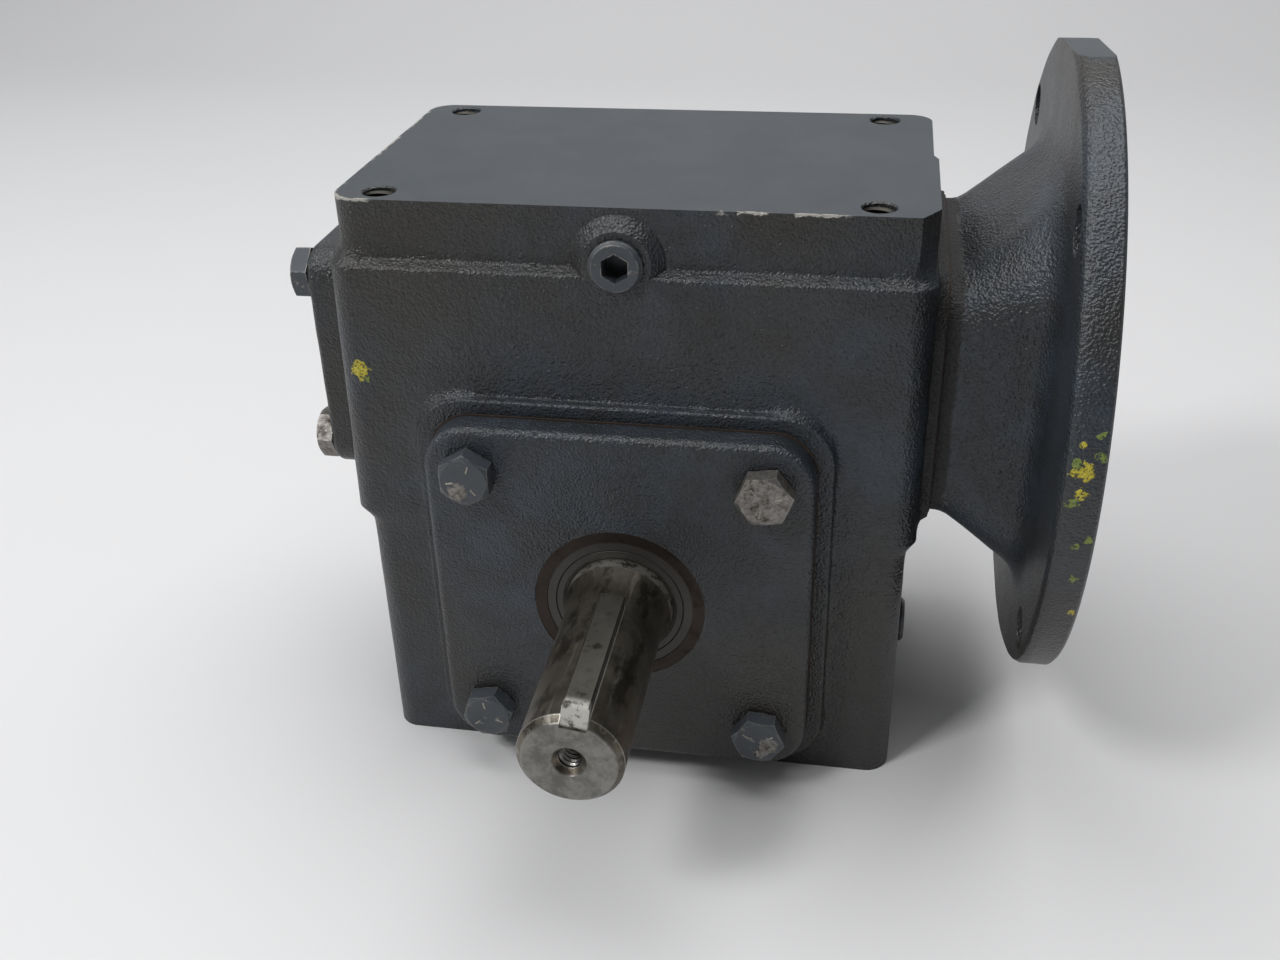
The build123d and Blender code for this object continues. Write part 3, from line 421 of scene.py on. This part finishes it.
def bare_lower_left(tree):
    """The end cap's lower front screw has lost its paint."""
    _, y, z = tree.parts(tree.place)
    return tree.both(tree.step(y, 0.0, -1 * mm), tree.step(z, worm_z, worm_z - 1 * mm))


def key_end(tree):
    """The key's outer end, scraped bright."""
    y = tree.parts(tree.place)[1]
    end = tree.step(y, shaft_end_y + 4.5 * mm, shaft_end_y + 1.5 * mm)
    return tree.both(end, tree.step(tree.noise(420, 4, 0.7), 0.34, 0.5))


def neck_grime(tree):
    """Oil and dust caked between the housing's side pad and the flange's neck."""
    x = tree.parts(tree.place)[0]
    joint_x = 78.4 * mm
    reach = tree.range(tree.noise(140, 3, 0.6), 1.0 * mm, 4.5 * mm)
    away = tree.math("ABSOLUTE", tree.math("SUBTRACT", x, joint_x))
    return tree.both(tree.step(tree.math("SUBTRACT", away, reach), 1.0 * mm, 0.0), 0.85)


housing_flecks = [
    ((-67.6 * mm, -47.0 * mm, 118.2 * mm), 2.6 * mm, fleck_yellow),
    ((-66.2 * mm, -47.0 * mm, 116.0 * mm), 1.0 * mm, fleck_green),
]
rim_flecks = [
    rim_fleck(79.0, 5.5, 0.9, fleck_yellow),
    rim_fleck(83.2, 5.3, 2.4, fleck_yellow),
    rim_fleck(82.0, 6.4, 1.6, fleck_green),
    rim_fleck(87.0, 4.8, 1.5, fleck_yellow),
    rim_fleck(88.5, 6.5, 1.7, fleck_green),
    rim_fleck(77.5, 2.2, 1.0, fleck_green),
    rim_fleck(80.8, 1.5, 1.3, fleck_green),
    rim_fleck(95.0, 1.8, 1.1, fleck_green),
    rim_fleck(96.2, 4.2, 0.9, fleck_green),
    rim_fleck(102.8, 3.2, 1.2, fleck_green),
    rim_fleck(111.2, 1.7, 1.2, fleck_yellow),
    rim_fleck(162.0, 2.4, 2.4, fleck_yellow),
    rim_fleck(158.0, 1.6, 1.5, fleck_yellow),
]
cap_paint = cast_paint("cap_paint", 0.8)
looks = {
    "housing": cast_paint("housing_paint", 0.5, top_machined, top_chips, housing_flecks, neck_grime),
    "output_cover": cast_paint("cover_paint", 0.65),
    "worm_end_cap": cap_paint,
    "motor_flange": cast_paint("flange_paint", 0.6, flange_machined, None, rim_flecks, neck_grime),
    "output_cover_screws": painted_screws("cover_screw_steel", bare_cover_screws),
    "worm_end_cap_screws": painted_screws("cap_screw_steel", bare_lower_left),
    "output_shaft": shaft_metal("output_shaft_steel"),
}
slot_looks = {
    "painted_casting": cap_paint,
    "screws": painted_screws("flange_screw_steel"),
    "gasket": dull("gasket_fibre", (0.018, 0.012, 0.009), (0.050, 0.030, 0.020), 0.8, 0.05),
    "plugs": painted_screws("plug_steel"),
    "seal_metal": plain_metal("seal_pressing", (0.030, 0.025, 0.021), (0.062, 0.050, 0.043), (300, 300, 300),
                              (0.4, 0.6), 0.02, (0.020, 0.014, 0.010), 0.7),
    "seal_rubber": dull("seal_nitrile", (0.016, 0.014, 0.012), (0.045, 0.039, 0.033), 0.5, 0.04),
    "shaft_steel": plain_metal("ground_steel", (0.28, 0.27, 0.25), (0.42, 0.41, 0.39), (60, 900, 900)),
    "key_steel": plain_metal("key_stock", (0.062, 0.058, 0.050), (0.145, 0.138, 0.120), (1200, 60, 1200),
                             (0.35, 0.6), 0.03, (0.022, 0.018, 0.013), 0.85, key_end),
    "bronze": plain_metal("gear_bronze", (0.48, 0.30, 0.12), (0.66, 0.44, 0.20), (700, 120, 700)),
    "hub_iron": plain_metal("hub_iron", (0.10, 0.10, 0.10), (0.19, 0.19, 0.185), (500, 500, 500),
                            (0.4, 0.6), 0.04),
    "cage_brass": plain_metal("cage_brass", (0.55, 0.40, 0.16), (0.72, 0.55, 0.25), (900, 900, 900)),
    "bearing_steel": plain_metal("bearing_steel", (0.48, 0.48, 0.49), (0.62, 0.62, 0.63),
                                 (400, 400, 400), (0.12, 0.25), 0.006),
    "spring_steel": plain_metal("spring_steel", (0.07, 0.07, 0.07), (0.15, 0.15, 0.15), (800, 800, 800)),
}
slots = {row["node"]: row["material_slot"] for row in frame["record"]["subparts"]}
for node_name, node_object in nodes.items():
    look = looks.get(node_name) or slot_looks[slots[node_name]]
    node_object.data.materials.clear()
    node_object.data.materials.append(look)


# ---------------------------------------------------------------- castings
ripple_depth = 0.11 * mm
near_machined = 0.3 * mm
full_ripple_away = 1.5 * mm
rounded_from = radians(33)
corner_from = radians(12)
shaded_sharp_from = radians(42)


def casting(node_name, edge_r, cell, outside, machined_distance):
    """Stands for a CAD casting: edges rounded, corners filled, cast skin rippled, machined faces left true.

    outside tells which points are refined. machined_distance gives a point's distance to machined faces."""
    shape = bmesh.new()
    shape.from_mesh(nodes[node_name].data)
    bmesh.ops.remove_doubles(shape, verts=shape.verts, dist=0.001 * mm)
    bmesh.ops.dissolve_limit(shape, angle_limit=radians(0.4), verts=shape.verts, edges=shape.edges)
    sharp = [edge for edge in shape.edges
             if edge.is_manifold and edge.calc_face_angle_signed() > rounded_from]
    bmesh.ops.bevel(shape, geom=sharp, offset=edge_r, offset_type="OFFSET", segments=2, profile=0.5,
                    affect="EDGES", clamp_overlap=True, loop_slide=True)
    bmesh.ops.remove_doubles(shape, verts=shape.verts, dist=0.002 * mm)
    bmesh.ops.triangulate(shape, faces=shape.faces, quad_method="BEAUTY", ngon_method="BEAUTY")
    for _ in range(9):
        long = [edge for edge in shape.edges
                if edge.calc_length() > cell and outside((edge.verts[0].co + edge.verts[1].co) / 2)]
        if not long:
            break
        bmesh.ops.subdivide_edges(shape, edges=long, cuts=1)
        bmesh.ops.triangulate(shape, faces=[face for face in shape.faces if len(face.verts) > 3],
                              quad_method="SHORT_EDGE", ngon_method="BEAUTY")
    for _ in range(4):
        shape.normal_update()
        hollow, ridge = set(), set()
        for edge in shape.edges:
            bend = edge.calc_face_angle_signed(0)
            if bend < -corner_from:
                hollow.update(edge.verts)
            elif bend > corner_from:
                ridge.update(edge.verts)
        hollow.update([edge.other_vert(point) for point in tuple(hollow) for edge in point.link_edges])
        filled = [point for point in hollow - ridge
                  if outside(point.co) and machined_distance(point.co) > near_machined]
        bmesh.ops.smooth_vert(shape, factor=0.5, use_axis_x=True, use_axis_y=True, use_axis_z=True,
                              verts=filled)
    shape.normal_update()
    for point in shape.verts:
        if outside(point.co):
            share = min(1.0, max(0.0, machined_distance(point.co) / full_ripple_away))
            swell = noise.noise(point.co * 95) + 0.35 * noise.noise(point.co * 260)
            point.co += point.normal * (share * ripple_depth * swell)
    for face in shape.faces:
        face.smooth = True
    for edge in shape.edges:
        edge.smooth = not edge.is_manifold or edge.calc_face_angle() < shaded_sharp_from
    mesh = bpy.data.meshes.new(node_name + "_casting")
    shape.to_mesh(mesh)
    shape.free()
    mesh.materials.append(looks[node_name])
    piece = bpy.data.objects.new(node_name + "_casting", mesh)
    bpy.context.scene.collection.objects.link(piece)
    piece.modifiers.new("even_faces", "WEIGHTED_NORMAL").keep_sharp = True
    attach(piece, "case")
    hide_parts(node_name)


def radius_from(point, axis, height):
    """Distance of a point from a line along x or y that crosses the upright centre line at a height."""
    across = point.y if axis == "x" else point.x
    return (across * across + (point.z - height) ** 2) ** 0.5


side_pad_half_width = 50 * mm
left_pad_x, right_pad_x = -76 * mm, 78 * mm
fill_arch_r, fill_arch_y = 14 * mm, -43 * mm
cover_bore_r = 24 * mm
flange_joint_x, pilot_end_x, bell_mouth_x = 78.9 * mm, 90 * mm, 106 * mm
input_seal_r, register_r = 28 * mm, 58 * mm


def housing_outside(point):
    """Leaves out the case's inside and bores, which don't need a cast skin."""
    return abs(point.x) > 66 * mm or abs(point.y) > 42 * mm or not 3 * mm < point.z < top_z - 4 * mm


def housing_machined(point):
    """The base, the top and the side pads' faces are machined. The fill plug's arch is left alone as well."""
    pads = (side_pad_half_width - abs(point.y), point.x - left_pad_x, right_pad_x - point.x)
    arch = radius_from(point, "y", plug_z) - fill_arch_r if point.y < fill_arch_y else top_z
    return min(arch, point.z, top_z - point.z, *(pad - 0.2 * mm for pad in pads))


def cover_machined(point):
    bore = radius_from(point, "y", output_z) - cover_bore_r
    return min(cover_joint_y - point.y, bore)


def cap_machined(point):
    return cap_joint_x - point.x


def flange_machined_distance(point):
    """The joint to the housing, the seal's seat, the register in the bell's mouth and the turned face."""
    face = flange_face_x - 0.9 * mm - point.x
    if point.x < pilot_end_x:
        bore = radius_from(point, "x", worm_z) - input_seal_r
    elif point.x > bell_mouth_x:
        bore = radius_from(point, "x", worm_z) - register_r
    else:
        bore = face
    return min(face, point.x - flange_joint_x, bore)


casting("housing", 0.55 * mm, 4.4 * mm, housing_outside, housing_machined)
casting("output_cover", 0.45 * mm, 2.4 * mm, lambda point: point.y < cover_face_y + 7 * mm, cover_machined)
casting("worm_end_cap", 0.45 * mm, 2.4 * mm, lambda point: point.x < cap_face_x + 9 * mm, cap_machined)
casting("motor_flange", 0.6 * mm, 3.0 * mm, lambda point: True, flange_machined_distance)


# ---------------------------------------------------------------- threads and head marks
screw_thread_pitch = 25.4 / 18 * mm
screw_thread_depth = 0.62 * mm
centre_thread_pitch = 1.27 * mm
centre_thread_depth = 0.42 * mm
thread_turns = 11


def new_piece(name, mesh, body, look):
    piece = bpy.data.objects.new(name, mesh)
    mesh.materials.append(look)
    bpy.context.scene.collection.objects.link(piece)
    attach(piece, body)


def thread_ridge(points, faces, mouth, inward, major_r, minor_r, pitch):
    """Adds one inside thread: a ridge of triangular section that winds into a hole from its mouth."""
    inward = Vector(inward)
    side = inward.orthogonal().normalized()
    other = inward.cross(side)
    start, steps_per_turn = len(points), 28
    steps = thread_turns * steps_per_turn
    for step in range(steps + 1):
        angle = 2 * pi * step / steps_per_turn
        outward = side * cos(angle) + other * sin(angle)
        depth = pitch * (0.9 + step / steps_per_turn)
        lead_in = min(1.0, step / 10, (steps - step) / 10)  # the ridge grows from nothing at both ends
        tip_r = major_r - (major_r - minor_r) * lead_in
        root_r = major_r + 0.12 * mm
        for radius, slide in ((root_r, -0.47), (tip_r, -0.06), (tip_r, 0.06), (root_r, 0.47)):
            points.append(Vector(mouth) + inward * (depth + slide * pitch) + outward * radius)
    for step in range(steps):
        here, there = start + 4 * step, start + 4 * step + 4
        for k in range(4):
            faces.append((here + k, here + (k + 1) % 4, there + (k + 1) % 4, there + k))
    faces.append((start + 3, start + 2, start + 1, start))
    last = start + 4 * steps
    faces.append((last, last + 1, last + 2, last + 3))


def threads(name, body, look, holes, major_r, minor_r, pitch):
    """The threads of several holes as one piece. Each hole is its mouth's centre and its inward direction."""
    points, faces = [], []
    for mouth, inward in holes:
        thread_ridge(points, faces, mouth, inward, major_r, minor_r, pitch)
    mesh = bpy.data.meshes.new(name)
    mesh.from_pydata(points, [], faces)
    mesh.update()
    new_piece(name, mesh, body, look)


def islands(node_name):
    """Lowest and highest corner of each separate solid in a node, in order of their middles' x, y and z."""
    shape = bmesh.new()
    shape.from_mesh(nodes[node_name].data)
    bmesh.ops.remove_doubles(shape, verts=shape.verts, dist=0.001 * mm)
    left, boxes = set(shape.verts), []
    while left:
        first = left.pop()
        solid, to_visit = [first], [first]
        while to_visit:
            point = to_visit.pop()
            for edge in point.link_edges:
                far = edge.other_vert(point)
                if far in left:
                    left.remove(far)
                    solid.append(far)
                    to_visit.append(far)
        places = [point.co.copy() for point in solid]
        boxes.append((Vector(min(place[k] for place in places) for k in range(3)),
                      Vector(max(place[k] for place in places) for k in range(3))))
    shape.free()
    return sorted(boxes, key=lambda box: [round(value / (2 * mm)) for value in box[0] + box[1]])


stroke_size = (0.5 * mm, 2.0 * mm, 0.3 * mm)
stroke_r = 3.7 * mm


def head_marks(name, node_name, outward, turns):
    """Three raised strokes, a third of a turn apart, on each hexagon head. turns in degrees, one per head."""
    shape = bmesh.new()
    outward = Vector(outward)
    up = Vector((0, 0, 1))
    side = up.cross(outward)
    for (low_corner, high_corner), turn in zip(islands(node_name), turns):
        middle = (low_corner + high_corner) / 2
        reach = max((low_corner - middle).dot(outward), (high_corner - middle).dot(outward))
        face = middle + outward * reach
        for k in range(3):
            angle = radians(turn + 120 * k)
            along = up * cos(angle) + side * sin(angle)
            across = outward.cross(along)
            axes = Matrix((across, along, outward)).transposed().to_4x4()
            place = Matrix.Translation(face + along * stroke_r) @ axes
            bmesh.ops.create_cube(shape, size=1.0, matrix=place @ Matrix.Diagonal((*stroke_size, 1.0)))
    bmesh.ops.bevel(shape, geom=shape.edges[:], offset=0.12 * mm, segments=2, profile=0.5, affect="EDGES")
    mesh = bpy.data.meshes.new(name)
    shape.to_mesh(mesh)
    shape.free()
    for face in mesh.polygons:
        face.use_smooth = True
    new_piece(name, mesh, "case", mark_metal)


hole_metal = plain_metal("thread_metal", (0.035, 0.032, 0.028), (0.10, 0.095, 0.085), (500, 500, 500),
                         (0.35, 0.55), 0.02, (0.02, 0.016, 0.012), 0.6)
mark_metal = plain_metal("mark_metal", (0.16, 0.15, 0.13), (0.40, 0.38, 0.34), (500, 500, 500), (0.35, 0.5),
                         0.02, (0.05, 0.05, 0.055), 0.6)
for mount_name in ("top_holes", "base_holes"):
    mount = mounts[mount_name]
    dims, level = mount["dims"], mount["pos_m"][2]
    holes = [((side_x * dims["spacing_x_mm"] / 2 * mm, side_y * dims["spacing_y_mm"] / 2 * mm, level),
              (0, 0, -mount["axis"][2])) for side_x in (-1, 1) for side_y in (-1, 1)]
    hole_r = dims["hole_r_mm"] * mm
    threads(mount_name + "_threads", "case", hole_metal, holes,
            hole_r, hole_r - screw_thread_depth, screw_thread_pitch)
end_r = mounts["shaft_end_thread"]["dims"]["r_mm"] * mm
end_mouth = (0, shaft_end_y + 1.0 * mm, output_z)
threads("shaft_end_threads", "output", slot_looks["shaft_steel"],
        [(end_mouth, (0, 1, 0))], end_r, end_r - centre_thread_depth, centre_thread_pitch)
head_marks("cover_screw_marks", "output_cover_screws", (0, -1, 0), (-10, 20, 60, 75))
head_marks("cap_screw_marks", "worm_end_cap_screws", (-1, 0, 0), (35, 10, 60, -15))


# ---------------------------------------------------------------- floor, light, camera
def studio_floor():
    """A pale sweep: flat under the object, then a slow curve up behind it. profile is its (y, z) section."""
    half_width, front, bend_start, bend_r = 2.6, -2.2, 0.75, 0.55
    wall_run, wall_rise = 0.45, 2.6
    profile = [(front, 0.0), (bend_start, 0.0)]
    for degrees in range(5, 85, 5):
        angle = radians(degrees)
        profile.append((bend_start + bend_r * sin(angle), bend_r * (1 - cos(angle))))
    bend_end_y, bend_end_z = profile[-1]
    profile.append((bend_end_y + wall_run, bend_end_z + wall_rise))
    mesh = bpy.data.meshes.new("studio_floor")
    points = [(side * half_width, y, z) for y, z in profile for side in (-1, 1)]
    faces = [(2 * k, 2 * k + 1, 2 * k + 3, 2 * k + 2) for k in range(len(profile) - 1)]
    mesh.from_pydata(points, [], faces)
    mesh.polygons.foreach_set("use_smooth", [True] * len(faces))
    floor = bpy.data.objects.new("studio_floor", mesh)
    bpy.context.scene.collection.objects.link(floor)
    tree = Tree("studio_paper")
    tint = tree.mix(tree.noise(3, 3, 0.5), (0.66, 0.66, 0.665), (0.70, 0.70, 0.705))
    mesh.materials.append(tree.surface(tint, 0.75, 0.0, tree.bump(tree.noise(400, 3, 0.6), 0.02 * mm)))


light_aim = Vector((0.0, 0.0, 0.08))


def soft_light(name, place, size, power, tint=(1.0, 1.0, 1.0)):
    lamp = bpy.data.lights.new(name, "AREA")
    lamp.shape = "RECTANGLE"
    lamp.size, lamp.size_y = size
    lamp.energy = power
    lamp.color = tint
    holder = bpy.data.objects.new(name, lamp)
    holder.location = place
    holder.rotation_euler = (light_aim - Vector(place)).to_track_quat("-Z", "Y").to_euler()
    bpy.context.scene.collection.objects.link(holder)


def photo_camera():
    """The photograph's viewpoint: in front, a little to the right, looking down 30 degrees."""
    place = Vector((59.95, -338.85, 262.70)) * mm
    azimuth, pitch, roll = -0.1882, 0.5239, -0.0276  # radians
    forward = Vector((sin(azimuth) * cos(pitch), cos(azimuth) * cos(pitch), -sin(pitch)))
    right = Vector((cos(azimuth), -sin(azimuth), 0.0))
    up = right.cross(forward)
    tilted_right = right * cos(roll) + up * sin(roll)
    tilted_up = up * cos(roll) - right * sin(roll)
    data = bpy.data.cameras.new("photo_camera")
    data.sensor_width, data.lens = 36.0, 37.41
    data.clip_start, data.clip_end = 0.01, 20.0
    camera = bpy.data.objects.new("photo_camera", data)
    turn = Matrix((tilted_right, tilted_up, -forward)).transposed().to_4x4()
    camera.matrix_world = Matrix.Translation(place) @ turn
    bpy.context.scene.collection.objects.link(camera)
    bpy.context.scene.camera = camera


studio_floor()
soft_light("key", (-0.66, -0.74, 1.14), (0.30, 0.30), 8.5)
soft_light("overhead", (0.08, 0.16, 1.25), (1.3, 1.1), 13.5)
soft_light("left_window", (-1.3, -0.1, 0.8), (0.9, 0.9), 4.0, (0.97, 0.985, 1.0))
world = bpy.data.worlds.new("room")
world.use_nodes = True
background = world.node_tree.nodes["Background"]
background.inputs["Color"].default_value = (0.80, 0.81, 0.83, 1.0)
background.inputs["Strength"].default_value = 0.20
bpy.context.scene.world = world
bpy.context.scene.view_settings.view_transform = "Standard"
photo_camera()
